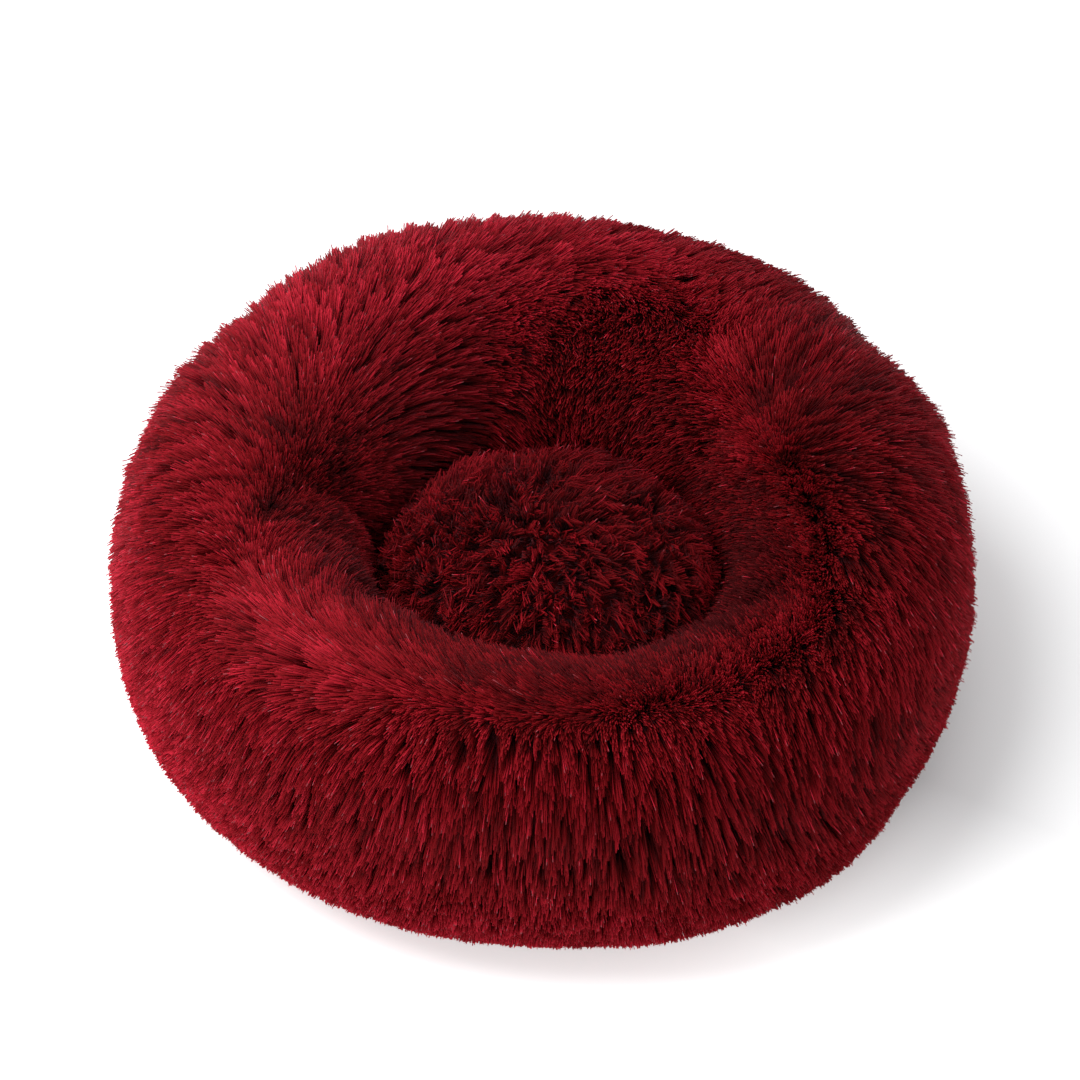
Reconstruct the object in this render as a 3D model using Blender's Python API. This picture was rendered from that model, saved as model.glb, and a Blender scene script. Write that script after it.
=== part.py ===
"""A donut pet bed: a fat stuffed rim of long-pile plush round a raised plush cushion, on a cloth base.

Metres, +Z up. The origin is on the floor, under the middle of the bed. Azimuths run counter-clockwise
from +X, and the bed is seen from -Y. A section angle runs round the rim's section: 0 at its widest
outside, 90 on its crest, 180 at the narrowest place of the nest.
"""
import math

import bmesh
import bpy

# Rim, over the tips of its pile
OUTER_RADIUS = 0.300
CREST_RADIUS = 0.221
NEST_RADIUS = 0.123
NEST_SHIFT = (0.004, -0.010)
RIM_HEIGHT = 0.216
RIM_FRONT_DIP = 0.011
WAIST_HEIGHT = 0.094
PILE_DEPTH = 0.024

# Sewn edges: where the rim's two plush panels end underneath, and how much thinner they are there
BASE_SEAM_RADIUS = 0.241
NEST_SEAM_RADIUS = 0.139
SEWN_EDGE = 0.006

# Cushion, over the tips of its pile
CUSHION_HEIGHT = 0.143
CUSHION_WAIST_HEIGHT = 0.076
CUSHION_SEAM_RADIUS = 0.108
CUSHION_SIDE_CLEARANCE = 0.0015

# Cloths of the underside
BASE_CLOTH = 0.0012
LINING = 0.0012
BINDING_WIDTH = 0.006
GRIP_DOT_RADIUS = 0.004
GRIP_DOT_TIP_RADIUS = 0.0033
GRIP_DOT_HEIGHT = 0.0008
GRIP_DOT_SPACING = 0.048
GRIP_DOT_EDGE_MARGIN = 0.012

# Pieces that touch are drawn this far apart
SEAT_GAP = 0.0003

# Folds that gather the nest's shorter wall, each a valley that winds from the nest up over the crest
CREASE_DEPTH = 0.013
CREASE_WIDTH = 0.026
CREASE_START_DEG = 62
CREASE_END_DEG = 222
CREASES = (
    # azimuth at the nest, azimuth on the crest, share of the depth
    (112, 94, 1.0),
    (165, 176, 0.8),
    (222, 218, 0.8),
    (38, 26, 0.7),
    (308, 328, 0.7),
)

# Shape powers and shares
RIM_ROUNDNESS = 0.95
CUSHION_SHOULDER_POWER = 0.56
PLAN_SWELL_SHARE = 0.010
BINDING_ROUNDNESS = 0.6

# Steps round the bed and along a section
RIM_STEPS = 64
OUTER_PANEL_STEPS = 8
INNER_PANEL_STEPS = 8
CUSHION_STEPS = 48
CUSHION_CROWN_STEPS = 7
CUSHION_SIDE_STEPS = 4
CLOTH_STEPS = 64
BINDING_STEPS = 8
GRIP_DOT_SIDES = 10

# Heights of the layers, from the floor up
BASE_UNDERSIDE = GRIP_DOT_HEIGHT
BASE_TOP = BASE_UNDERSIDE + BASE_CLOTH
LINING_UNDERSIDE = BASE_TOP + SEAT_GAP
LINING_TOP = LINING_UNDERSIDE + LINING
PLUSH_UNDERSIDE = LINING_TOP + SEAT_GAP

# Radii that follow from their neighbours
BASE_RADIUS = BASE_SEAM_RADIUS - BINDING_WIDTH
CUSHION_RADIUS = NEST_RADIUS - CUSHION_SIDE_CLEARANCE
SEWN_EDGE_SHARE = SEWN_EDGE / PILE_DEPTH
FILLING_INSET = PILE_DEPTH + SEAT_GAP

PLUSH_RED = (0.205, 0.012, 0.018)


def clear_scene():
    for found in list(bpy.data.objects):
        bpy.data.objects.remove(found, do_unlink=True)


def new_collection(name):
    collection = bpy.data.collections.new(name)
    bpy.context.scene.collection.children.link(collection)
    return collection


def finish(name, colour, roughness):
    """One material of the bed; all of them are cloth or fibre, so none is metallic."""
    material = bpy.data.materials.new(name)
    material.use_nodes = True
    shader = material.node_tree.nodes["Principled BSDF"]
    shader.inputs["Base Color"].default_value = (*colour, 1)
    shader.inputs["Roughness"].default_value = roughness
    shader.inputs["Metallic"].default_value = 0
    material.diffuse_color = (*colour, 1)
    return material


def power(value, exponent):
    """A power that keeps its sign."""
    return math.copysign(abs(value) ** exponent, value)


def plan_point(azimuth, radius, height, middle=(0, 0)):
    """A place round a middle on the bed, which is a little longer from back left to front right."""
    x = middle[0] + radius * math.cos(azimuth)
    y = middle[1] + radius * math.sin(azimuth)
    swell = 1 - PLAN_SWELL_SHARE * math.sin(2 * math.atan2(y, x))
    return (x * swell, y * swell, height)


def nest_shift(azimuth):
    """How much further out the nest's wall stands on this side, as the nest is off the middle."""
    return NEST_SHIFT[0] * math.cos(azimuth) + NEST_SHIFT[1] * math.sin(azimuth)


def crease_depth(azimuth, section_angle):
    """How far the rim is drawn in by its folds at one place."""
    reach = (math.degrees(section_angle) - CREASE_START_DEG) / (CREASE_END_DEG - CREASE_START_DEG)
    fade = math.sin(math.pi * min(max(reach, 0), 1))
    along = 2 * section_angle / math.pi - 1
    depth = 0
    for nest_deg, crest_deg, share in CREASES:
        middle = math.radians(crest_deg + (nest_deg - crest_deg) * along)
        turn = math.remainder(azimuth - middle, 2 * math.pi)
        depth += share * CREASE_DEPTH * fade * math.exp(-((turn * CREST_RADIUS / CREASE_WIDTH) ** 2))
    return min(depth, CREASE_DEPTH)


def rim_section(azimuth, section_angle, side, inset, seam_gap):
    """A point of the rim's section, as radius and height, an inset below the tips of the pile.

    The side is 1 on the outer panel's half of the section and -1 on the inner panel's.
    """
    across = abs(math.cos(section_angle)) ** RIM_ROUNDNESS
    up = abs(math.sin(section_angle)) ** RIM_ROUNDNESS
    waist_radius = OUTER_RADIUS - inset if side > 0 else NEST_RADIUS + nest_shift(azimuth) + inset
    if math.sin(section_angle) >= 0:
        end_radius = CREST_RADIUS + side * seam_gap / 2
        end_height = RIM_HEIGHT - RIM_FRONT_DIP * (1 - math.sin(azimuth)) / 2 - inset
    else:
        sewn_radius = BASE_SEAM_RADIUS if side > 0 else NEST_SEAM_RADIUS + nest_shift(azimuth)
        end_radius = sewn_radius - side * inset * SEWN_EDGE_SHARE
        end_height = PLUSH_UNDERSIDE
    radius = end_radius + (waist_radius - end_radius) * across
    height = WAIST_HEIGHT + (end_height - WAIST_HEIGHT) * up
    out, rise = radius - CREST_RADIUS, height - WAIST_HEIGHT
    kept = 1 - crease_depth(azimuth, section_angle) / math.hypot(out, rise)
    return CREST_RADIUS + out * kept, WAIST_HEIGHT + rise * kept


def steps_between(start, end, count):
    return [start + (end - start) * step / count for step in range(count + 1)]


def half_section(azimuth, side, inset, seam_gap):
    """One panel's half of the rim's section: upwards outside, and downwards inside."""
    if side > 0:
        angles = steps_between(-math.pi / 2, math.pi / 2, OUTER_PANEL_STEPS)
    else:
        angles = steps_between(math.pi / 2, 3 * math.pi / 2, INNER_PANEL_STEPS)
    return [rim_section(azimuth, angle, side, inset, seam_gap) for angle in angles]


def mesh_object(name, build, material, collection):
    """An object whose mesh is filled in by build, with smooth faces and sharp rims."""
    mesh = bpy.data.meshes.new(name)
    shape = bmesh.new()
    build(shape)
    bmesh.ops.recalc_face_normals(shape, faces=shape.faces)
    shape.to_mesh(mesh)
    shape.free()
    mesh.shade_smooth()
    mesh.set_sharp_from_angle(angle=math.radians(50))
    made = bpy.data.objects.new(name, mesh)
    made.data.materials.append(material)
    collection.objects.link(made)
    return made


def ring_loft(name, section_at, steps, material, collection):
    """A ring whose section changes round the bed.

    A section is an outer sheet of points and an inner one, which may be empty, both running the same way.
    The faces of both sheets are split along like diagonals, so that nested pieces stay nested in a fold.
    """

    def build(shape):
        rows = []
        for step in range(steps):
            azimuth = 2 * math.pi * step / steps
            sheets = section_at(azimuth)
            rows.append([[shape.verts.new(plan_point(azimuth, *point)) for point in sheet] for sheet in sheets])
        for row, following in zip(rows, rows[1:] + rows[:1]):
            for near, far in zip(row, following):
                for index in range(len(near) - 1):
                    shape.faces.new((near[index], near[index + 1], far[index + 1]))
                    shape.faces.new((near[index], far[index + 1], far[index]))
            outer, inner = row
            next_outer, next_inner = following
            if inner:
                shape.faces.new((outer[0], next_outer[0], next_inner[0], inner[0]))
                shape.faces.new((outer[-1], next_outer[-1], next_inner[-1], inner[-1]))
            else:
                shape.faces.new((outer[0], next_outer[0], next_outer[-1], outer[-1]))

    return mesh_object(name, build, material, collection)


def cushion_loft(name, outline, top, bottom, material, collection):
    """A round solid in the nest, whose half section runs from its axis at top to its axis at bottom."""

    def build(shape):
        top_pole = shape.verts.new((*NEST_SHIFT, top))
        bottom_pole = shape.verts.new((*NEST_SHIFT, bottom))
        rows = []
        for step in range(CUSHION_STEPS):
            azimuth = 2 * math.pi * step / CUSHION_STEPS
            rows.append([shape.verts.new(plan_point(azimuth, *point, NEST_SHIFT)) for point in outline])
        for row, following in zip(rows, rows[1:] + rows[:1]):
            shape.faces.new((top_pole, row[0], following[0]))
            shape.faces.new((bottom_pole, following[-1], row[-1]))
            for index in range(len(row) - 1):
                shape.faces.new((row[index], row[index + 1], following[index + 1], following[index]))

    return mesh_object(name, build, material, collection)


def cloth_disc(name, middle, radius, underside, thickness, material, collection):
    """A flat round cloth."""

    def build(shape):
        bmesh.ops.create_circle(shape, cap_ends=True, segments=CLOTH_STEPS, radius=radius)
        for vertex in shape.verts:
            azimuth = math.atan2(vertex.co.y, vertex.co.x)
            vertex.co = plan_point(azimuth, radius, underside, middle)
        raised = bmesh.ops.extrude_face_region(shape, geom=list(shape.faces))
        lifted = [item for item in raised["geom"] if isinstance(item, bmesh.types.BMVert)]
        bmesh.ops.translate(shape, verts=lifted, vec=(0, 0, thickness))

    return mesh_object(name, build, material, collection)


def rim_panel(name, side, material, collection):
    """One plush panel of the rim, with the tips of its pile outside and its backing inside."""

    def section_at(azimuth):
        tips = half_section(azimuth, side, 0, SEAT_GAP)
        backing = half_section(azimuth, side, PILE_DEPTH, SEAT_GAP)
        return tips, backing

    return ring_loft(name, section_at, RIM_STEPS, material, collection)


def rim_filling(material, collection):
    """The ring of polyester fibre that the two panels and the lining hold."""

    def section_at(azimuth):
        outer_half = half_section(azimuth, 1, FILLING_INSET, 0)
        inner_half = half_section(azimuth, -1, FILLING_INSET, 0)
        return outer_half + inner_half[1:], []

    return ring_loft("rim_filling", section_at, RIM_STEPS, material, collection)


def rim_lining(material, collection):
    """The flat non-woven ring that closes the rim underneath."""

    def section_at(azimuth):
        outer, inner = BASE_RADIUS - SEAT_GAP, NEST_SEAM_RADIUS + nest_shift(azimuth)
        top = [(outer, LINING_TOP), (inner, LINING_TOP)]
        under = [(outer, LINING_UNDERSIDE), (inner, LINING_UNDERSIDE)]
        return top, under

    return ring_loft("rim_lining", section_at, CLOTH_STEPS, material, collection)


def base_binding(material, collection):
    """The tape round the raw edges of the base cloth and the lining, under the outer panel's edge."""
    half_width = (BINDING_WIDTH - SEAT_GAP) / 2
    half_height = (LINING_TOP - BASE_UNDERSIDE) / 2
    middle_radius = BASE_SEAM_RADIUS - half_width
    middle_height = BASE_UNDERSIDE + half_height

    def section_at(_azimuth):
        points = []
        for step in range(BINDING_STEPS):
            angle = 2 * math.pi * step / BINDING_STEPS
            out = half_width * power(math.cos(angle), BINDING_ROUNDNESS)
            rise = half_height * power(math.sin(angle), BINDING_ROUNDNESS)
            points.append((middle_radius + out, middle_height + rise))
        return points, []

    return ring_loft("base_binding", section_at, CLOTH_STEPS, material, collection)


def cushion_section(inset):
    """Half the cushion's outline from beside the axis to its seam, an inset below the pile's tips."""
    points = []
    waist_radius = CUSHION_RADIUS - inset
    rise = CUSHION_HEIGHT - inset - CUSHION_WAIST_HEIGHT
    for angle in steps_between(math.pi / 2, 0, CUSHION_CROWN_STEPS)[1:]:
        radius = waist_radius * math.cos(angle) ** CUSHION_SHOULDER_POWER
        height = CUSHION_WAIST_HEIGHT + rise * math.sin(angle) ** CUSHION_SHOULDER_POWER
        points.append((radius, height))
    seam_radius = CUSHION_SEAM_RADIUS - inset * SEWN_EDGE_SHARE
    for angle in steps_between(0, math.pi / 2, CUSHION_SIDE_STEPS)[1:]:
        radius = seam_radius + (waist_radius - seam_radius) * math.cos(angle)
        height = CUSHION_WAIST_HEIGHT - (CUSHION_WAIST_HEIGHT - PLUSH_UNDERSIDE) * math.sin(angle)
        points.append((radius, height))
    return points


def cushion_cover(material, collection):
    """The cushion's plush crown and sides, open underneath."""
    outline = cushion_section(0) + cushion_section(PILE_DEPTH)[::-1]
    top, under = CUSHION_HEIGHT, CUSHION_HEIGHT - PILE_DEPTH
    return cushion_loft("cushion_cover", outline, top, under, material, collection)


def cushion_filling(material, collection):
    """The fibre inside the cushion."""
    outline = cushion_section(FILLING_INSET)
    top = CUSHION_HEIGHT - FILLING_INSET
    return cushion_loft("cushion_filling", outline, top, PLUSH_UNDERSIDE, material, collection)


def cushion_underside(material, collection):
    """The non-woven disc that closes the cushion."""
    return cloth_disc(
        "cushion_underside", NEST_SHIFT, CUSHION_SEAM_RADIUS, LINING_UNDERSIDE, LINING, material, collection
    )


def grip_dot_places():
    """A triangular pattern of places with one in the middle, as far as the base's edge lets it."""
    reach = BASE_RADIUS - GRIP_DOT_EDGE_MARGIN
    row_step = GRIP_DOT_SPACING * math.sin(math.pi / 3)
    rows = math.ceil(reach / row_step)
    columns = math.ceil(reach / GRIP_DOT_SPACING)
    places = []
    for row in range(-rows, rows + 1):
        shift = GRIP_DOT_SPACING / 2 if row % 2 else 0
        for column in range(-columns - 1, columns + 1):
            x, y = column * GRIP_DOT_SPACING + shift, row * row_step
            if math.hypot(x, y) <= reach:
                places.append((x, y))
    return places


def grip_dots(material, cutters):
    """Rubber dots, each reaching half way into the cloth that it is printed on."""
    depth = GRIP_DOT_HEIGHT + BASE_CLOTH / 2

    def build(shape):
        for x, y in grip_dot_places():
            dot = bmesh.ops.create_cone(
                shape,
                cap_ends=True,
                segments=GRIP_DOT_SIDES,
                radius1=GRIP_DOT_TIP_RADIUS,
                radius2=GRIP_DOT_RADIUS,
                depth=depth,
            )
            bmesh.ops.translate(shape, verts=dot["verts"], vec=(x, y, depth / 2))

    dots = mesh_object("grip_dots", build, material, cutters)
    dots.hide_render = True
    dots.display_type = "WIRE"
    return dots


def base_panel(material, collection, cutters):
    """The coated cloth that the bed stands on, with its grip dots."""
    radius = BASE_RADIUS - SEAT_GAP
    panel = cloth_disc("base_panel", (0, 0), radius, BASE_UNDERSIDE, BASE_CLOTH, material, collection)
    union = panel.modifiers.new("grip dots", "BOOLEAN")
    union.operation = "UNION"
    union.object = grip_dots(material, cutters)
    return panel


def build_bed():
    clear_scene()
    bed = new_collection("donut_pet_bed")
    cutters = new_collection("cutters")
    plush = finish("wine red plush", PLUSH_RED, 0.85)
    nest_plush = finish("wine red plush of the nest", PLUSH_RED, 0.85)
    cushion_plush = finish("wine red plush of the cushion", PLUSH_RED, 0.85)
    fibre = finish("white polyester fibre", (0.86, 0.86, 0.84), 0.95)
    cushion_fibre = finish("white cushion fibre", (0.86, 0.86, 0.84), 0.95)
    rim_cloth = finish("grey non-woven lining", (0.16, 0.16, 0.17), 0.9)
    cushion_cloth = finish("grey non-woven cushion back", (0.18, 0.18, 0.19), 0.9)
    base_cloth = finish("black coated base cloth", (0.018, 0.018, 0.020), 0.7)
    tape = finish("black binding tape", (0.025, 0.022, 0.023), 0.75)
    rim_panel("rim_outer_panel", 1, plush, bed)
    rim_panel("rim_inner_panel", -1, nest_plush, bed)
    rim_filling(fibre, bed)
    rim_lining(rim_cloth, bed)
    cushion_cover(cushion_plush, bed)
    cushion_filling(cushion_fibre, bed)
    cushion_underside(cushion_cloth, bed)
    base_panel(base_cloth, bed, cutters)
    base_binding(tape, bed)


build_bed()
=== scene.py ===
"""The looks of a donut pet bed: the plush and its pile, the cloths underneath, the light and the camera.

Metres, +Z up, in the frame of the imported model. Azimuths run counter-clockwise from +X, and the bed is
seen from -Y. A section angle runs round the rim's section: 0 at its widest outside, 90 on its crest and
180 at the narrowest place of the nest.
"""

import math

import bmesh
import bpy
import numpy as np
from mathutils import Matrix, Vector, noise


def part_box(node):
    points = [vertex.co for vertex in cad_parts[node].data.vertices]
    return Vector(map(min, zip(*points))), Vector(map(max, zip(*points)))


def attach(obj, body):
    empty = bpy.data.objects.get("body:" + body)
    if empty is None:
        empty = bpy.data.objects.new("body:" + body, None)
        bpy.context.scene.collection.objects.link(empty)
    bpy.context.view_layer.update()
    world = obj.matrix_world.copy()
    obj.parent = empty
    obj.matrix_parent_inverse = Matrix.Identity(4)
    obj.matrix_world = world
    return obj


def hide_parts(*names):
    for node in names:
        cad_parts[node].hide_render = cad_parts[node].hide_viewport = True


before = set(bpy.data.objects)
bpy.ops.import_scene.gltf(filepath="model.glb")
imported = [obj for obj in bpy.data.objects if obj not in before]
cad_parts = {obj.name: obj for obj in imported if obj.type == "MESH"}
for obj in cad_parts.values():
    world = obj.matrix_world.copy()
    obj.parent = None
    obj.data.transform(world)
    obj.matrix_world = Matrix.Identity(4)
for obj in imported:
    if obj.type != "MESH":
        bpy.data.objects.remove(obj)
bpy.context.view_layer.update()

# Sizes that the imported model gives
RIM_LOW, RIM_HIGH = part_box("rim_outer_panel")
OUTER_RADIUS = (RIM_HIGH.x - RIM_LOW.x) / 2
RIM_HEIGHT = RIM_HIGH.z
PLUSH_UNDERSIDE = RIM_LOW.z
CUSHION_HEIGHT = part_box("cushion_cover")[1].z

# The rim's section and plan, as the model has them
CREST_RADIUS = 0.221
NEST_RADIUS = 0.123
NEST_SHIFT = (0.004, -0.010)
RIM_FRONT_DIP = 0.011
WAIST_HEIGHT = 0.094
BASE_SEAM_RADIUS = 0.241
NEST_SEAM_RADIUS = 0.139
SEWN_EDGE_SHARE = 0.25
RIM_ROUNDNESS = 0.95
PLAN_SWELL_SHARE = 0.010
CUSHION_RADIUS = 0.1215
CUSHION_WAIST_HEIGHT = 0.076
CUSHION_SEAM_RADIUS = 0.108
CUSHION_SHOULDER_POWER = 0.56

# Folds that gather the nest's wall: azimuth at the nest, azimuth on the crest, share of the depth, and the
# section angle at which the fold begins
CREASES = (
    (112, 94, 0.7, 62),
    (163, 187, 0.9, 92),
    (222, 218, 0.8, 84),
    (38, 26, 0.7, 62),
    (308, 328, 0.7, 62),
)
CREASE_DEPTH = 0.015
CREASE_WIDTH = 0.024
CREASE_END_DEG = 222

# Pile: its length, how deep its roots lie, the backing's thickness, how far tips stand over the CAD model's
# surface, the size of the patches in which locks lie one way, and the section angles of the two sewn edges
PILE_LENGTH = 0.037
DEEPEST_ROOTS = 0.016
SHALLOWEST_ROOTS = 0.0105
BACKING = 0.0016
PILE_PROUD = 0.0040
PATCH_SIZE = 0.045
SEWN_EDGES_DEG = (-86, 266)

# The lowest pile is cut shorter and grows thinner: the height where that begins, and the least share
CUT_BELOW, LEAST_CUT = 0.050, 0.38
THIN_BELOW, LEAST_COVER = 0.08, 0.45
# Strands for each area of tips, as a share, and the most that a parting may need
TIPS_SHARE, MOST_AT_PARTING = 1.3, 5.2

# In the tables below a range in degrees is from, to and, where it has a third number, how soft its ends are.
# Where the pile parts: on the crest, with a slow waver, and further in on the right
PARTING_DEG, PARTING_WAVER_DEG, PARTING_INWARD_DEG = 96, 4, 36
PARTING_INWARD = (-16, 46, 60)

# Matted stretches: azimuths, section angles and the share of matted pile
MATTED = (
    ((30, 104, 50), (106, 215, 44), 1.0),
    ((-76, -34, 24), (78, 150, 22), 0.8),
    ((-116, -76, 30), (90, 160, 16), 0.45),
)
MATTED_ON_RIGHT = (-62, 40, 40)
MATTED_ON_LEFT_DEG, MATTED_ON_LEFT = 178, (-24, 34, 24)

# Stretches of the crest whose pile is also combed along the rim, clockwise: azimuths, section angles, strength
COMBED_ALONG = (
    ((40, 102, 16), (50, 118, 24), 0.8),
    ((-152, -122, 34), (70, 124, 26), 1.4),
    ((-122, -74, 30), (92, 126, 16), 1.5),
)

# Whorls: the place of each, the azimuths it reaches, how these slant with the section angle, the section
# angles it reaches, and its strength
WHORLS = (
    ((176, 166), (98, 186), 0.06, (58, 200), 3.0),
    ((-160, 100), (-180, -147), 0, (40, 190), 1.6),
    ((20, 134), (-44, 40), 0, (24, 200), 2.0),
)
WHORL_SOFTNESS = (44, 40)
WHORL_EYE = 0.075

# Painted light and shade: stretches painted lighter or darker. Azimuths from and to, section angles from and
# # to, how much lighter
PAINTED_LIGHT_AND_SHADE = (
    (-118, -60, 64, 92, 0.22),
    (-160, -122, 116, 150, -0.02),
    (-122, -60, 112, 150, -0.03),
    (-108, -64, 94, 110, -0.20),
    (-150, -60, -10, 60, 0.04),
    (-62, -30, 100, 150, -0.08),
    (-40, 10, 88, 112, 0.06),
    (0, 34, 110, 150, -0.12),
    (-50, 6, 122, 190, -0.12),
    (-64, -28, 98, 132, -0.26),
    (-60, -24, 50, 84, 0.12),
    (154, 210, 108, 150, -0.34),
    (84, 124, 10, 78, 0.42),
    (145, 195, 66, 112, -0.18),
    (152, 222, 66, 104, -0.22),
    (150, 215, -20, 44, 0.30),
    (92, 160, 100, 190, 0.17),
    (60, 100, 66, 100, 0.05),
    (-30, 24, -20, 84, 0.18),
)
PAINTED_LIGHT_SOFTNESS = (26, 18)

# Swells and hollows of the pile: azimuths from and to, section angles from and to, height
SWELLS = (
    (-80, -42, -70, 60, 0.0086),
    (-38, -10, -70, 60, -0.0034),
    (8, 26, -70, 60, 0.0095),
    (38, 58, -70, 60, 0.0076),
    (86, 104, -70, 60, -0.0016),
    (106, 128, -70, 60, 0.0044),
    (136, 146, -70, 60, -0.0034),
    (-158, -104, -70, 60, 0.0024),
    (164, 190, -70, 60, -0.0018),
    (-160, -84, 108, 160, 0.0080),
)
SWELL_SOFTNESS = (20, 40)

# Strands and locks: how far apart the patterns of patches lie, the scale of the combing's drift, how much
# shorter every strand is, how a lock keeps its way, its half width, how much thinner guard hairs are, and
# the height that no strand falls under
PATCHES_APART = 7.0
DRIFT_SCALE = 38.0
LEAST_SHORTER = 0.04
FLOW_SHARE, LEAST_FLOW = 0.9, 0.012
HALF_WIDTH = 0.55
GUARD_THINNER = 0.25
LOWEST_PILE = 0.0012

# Places in the palette: the lightest of plain strands, and hairs with painted glints at their tips
LIGHTEST_TONE, GLINT_TONE = 0.90, 0.985


def power(value, exponent):
    """A power of the size of each value."""
    return np.abs(value) ** exponent


def band(value, low, high, soft):
    """1 between low and high, 0 outside, with soft shoulders."""
    rise = np.clip((value - low) / soft + 0.5, 0, 1)
    fall = np.clip((high - value) / soft + 0.5, 0, 1)
    return (rise * rise * (3 - 2 * rise)) * (fall * fall * (3 - 2 * fall))


def turned(degrees):
    """An angle brought to between -180 and 180 degrees."""
    return (degrees + 180) % 360 - 180


def on_patches(azimuth_deg, section_deg, patches):
    """The sum of soft patches on the rim."""
    return sum(
        strength * band(azimuth_deg, *azimuths) * band(section_deg, *sections)
        for azimuths, sections, strength in patches
    )


def with_stretches(value, azimuth_deg, section_deg, stretches, softness):
    """A value with what stretches of the rim add to it."""
    for start, end, low, high, amount in stretches:
        middle = (start + end) / 2
        across = band(turned(azimuth_deg - middle), start - middle, end - middle, softness[0])
        value = value + amount * across * band(section_deg, low, high, softness[1])
    return value


def nest_shift(azimuth):
    return NEST_SHIFT[0] * np.cos(azimuth) + NEST_SHIFT[1] * np.sin(azimuth)


def crease_depth(azimuth, section):
    """How far the rim is drawn in by its folds."""
    along = 2 * section / np.pi - 1
    depth = np.zeros_like(azimuth)
    for nest_deg, crest_deg, share, start_deg in CREASES:
        middle = np.radians(crest_deg + (nest_deg - crest_deg) * along)
        turn = (azimuth - middle + np.pi) % (2 * np.pi) - np.pi
        reach = np.clip((np.degrees(section) - start_deg) / (CREASE_END_DEG - start_deg), 0, 1)
        depth = depth + share * np.sin(np.pi * reach) * np.exp(-((turn * CREST_RADIUS / CREASE_WIDTH) ** 2))
    return CREASE_DEPTH * np.minimum(depth, 1)


def swelled(x, y, z):
    """Places on the bed, whose plan is a little longer from back left to front right."""
    swell = 1 - PLAN_SWELL_SHARE * np.sin(2 * np.arctan2(y, x))
    return np.stack([x * swell, y * swell, z], axis=-1)


def rim_surface(azimuth, section, inset):
    """Places on the rim, an inset below the tips of its pile."""
    outer = section <= np.pi / 2 + 1e-9
    side = np.where(outer, 1, -1)
    across = power(np.cos(section), RIM_ROUNDNESS)
    up = power(np.sin(section), RIM_ROUNDNESS)
    nest_wall = NEST_RADIUS + nest_shift(azimuth) + inset
    waist_radius = np.where(outer, OUTER_RADIUS - inset, nest_wall)
    sewn_radius = np.where(outer, BASE_SEAM_RADIUS, NEST_SEAM_RADIUS + nest_shift(azimuth))
    top = np.sin(section) >= 0
    end_radius = np.where(top, CREST_RADIUS, sewn_radius - side * inset * SEWN_EDGE_SHARE)
    crest_height = RIM_HEIGHT - RIM_FRONT_DIP * (1 - np.sin(azimuth)) / 2 - inset
    end_height = np.where(top, crest_height, PLUSH_UNDERSIDE)
    radius = end_radius + (waist_radius - end_radius) * across
    height = WAIST_HEIGHT + (end_height - WAIST_HEIGHT) * up
    out, rise = radius - CREST_RADIUS, height - WAIST_HEIGHT
    left = 1 - crease_depth(azimuth, section) / np.hypot(out, rise)
    radius = CREST_RADIUS + out * left
    return swelled(radius * np.cos(azimuth), radius * np.sin(azimuth), WAIST_HEIGHT + rise * left)


def cushion_surface(azimuth, section, inset):
    """Places on the cushion: its section angle is 90 on the axis, 0 at the waist and -90 at the seam."""
    waist = CUSHION_RADIUS - inset
    rise = CUSHION_HEIGHT - inset - CUSHION_WAIST_HEIGHT
    seam = CUSHION_SEAM_RADIUS - inset * SEWN_EDGE_SHARE
    crown_radius = waist * power(np.cos(section), CUSHION_SHOULDER_POWER)
    crown_height = CUSHION_WAIST_HEIGHT + rise * power(np.sin(section), CUSHION_SHOULDER_POWER)
    side_radius = seam + (waist - seam) * np.cos(section)
    side_height = CUSHION_WAIST_HEIGHT + (CUSHION_WAIST_HEIGHT - PLUSH_UNDERSIDE) * np.sin(section)
    crown = section >= 0
    radius = np.where(crown, crown_radius, side_radius)
    height = np.where(crown, crown_height, side_height)
    x, y = radius * np.cos(azimuth), radius * np.sin(azimuth)
    return swelled(x + NEST_SHIFT[0], y + NEST_SHIFT[1], height)


def unit(vectors):
    return vectors / np.maximum(np.linalg.norm(vectors, axis=-1, keepdims=True), 1e-9)


def slopes(surface, azimuth, section, inset):
    """How a place on the surface moves with rising azimuth, and with falling section angle, per radian."""
    small = 0.002
    along = surface(azimuth + small, section, inset) - surface(azimuth - small, section, inset)
    outward = surface(azimuth, section - small, inset) - surface(azimuth, section + small, inset)
    return along / (2 * small), outward / (2 * small)


def root_depth(lean):
    """Pile that lies flat needs less room over its backing than pile that stands."""
    return np.clip(PILE_LENGTH * np.sqrt(np.maximum(1 - lean**2, 0)), SHALLOWEST_ROOTS, DEEPEST_ROOTS)


def whorl(azimuth_deg, section_deg, middle):
    """The direction away from a whorl, as shares along azimuth and outward, and the distance to it."""
    along = np.radians(turned(azimuth_deg - middle[0])) * 0.20
    outward = np.radians(middle[1] - section_deg) * 0.11
    distance = np.hypot(along, outward) + 1e-6
    return along / distance, outward / distance, distance


def parting(azimuth_deg):
    """The section angle at which the pile parts."""
    waver = PARTING_WAVER_DEG * np.sin(np.radians(azimuth_deg) * 3)
    return PARTING_DEG + waver + PARTING_INWARD_DEG * band(azimuth_deg, *PARTING_INWARD)


def matted_share(azimuth_deg, section_deg):
    """Where the pile stands and curls: at the back of the nest, on its right and left, and on the near lip."""
    on_right = band(azimuth_deg, *MATTED_ON_RIGHT) * np.clip(
        (section_deg - parting(azimuth_deg) + 14) / 30, 0, 1
    )
    on_left = band(turned(azimuth_deg - MATTED_ON_LEFT_DEG), *MATTED_ON_LEFT) * np.clip(
        (section_deg - 106) / 24, 0, 1
    )
    return np.clip(on_patches(azimuth_deg, section_deg, MATTED) + on_right + on_left, 0, 1)


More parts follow.
